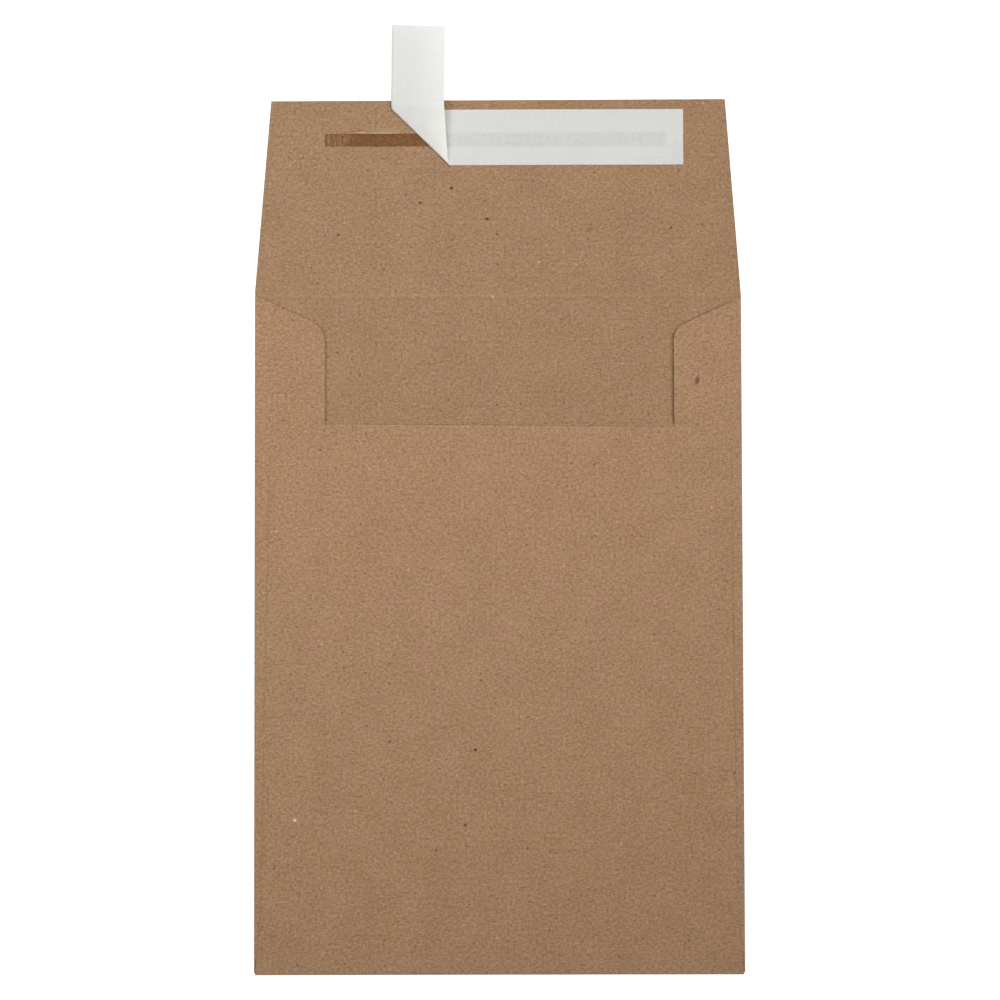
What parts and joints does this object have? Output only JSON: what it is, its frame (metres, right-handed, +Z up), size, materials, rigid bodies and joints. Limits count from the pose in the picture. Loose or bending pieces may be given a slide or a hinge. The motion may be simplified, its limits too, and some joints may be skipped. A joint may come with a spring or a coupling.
{
  "type": "paper envelope",
  "caption": "Open kraft paper envelope: folded pocket with glued side seams and a peel-and-seal flap, its release liner partly peeled back.",
  "frame": {"origin": "centre of the pocket's address face, which lies on Z = 0", "axes": "+X across the envelope to the right, +Y along it from the bottom fold to the open seal flap, +Z up through the layers towards the back panel"},
  "size_m": [0.1334, 0.2599, 0.0063],
  "materials": {
    "kraft_paper": "uncoated brown kraft paper, fine fibres",
    "seam_glue": "dried paper glue",
    "seal_adhesive": "clear pressure-sensitive adhesive that darkens the paper",
    "release_paper": "thin silicone-coated white paper, satin"
  },
  "bodies": {
    "root": {"envelope": "kraft_paper", "left_seam_glue": "seam_glue", "right_seam_glue": "seam_glue", "seal_adhesive": "seal_adhesive", "release_liner": "release_paper"}
  },
  "joints": []
}
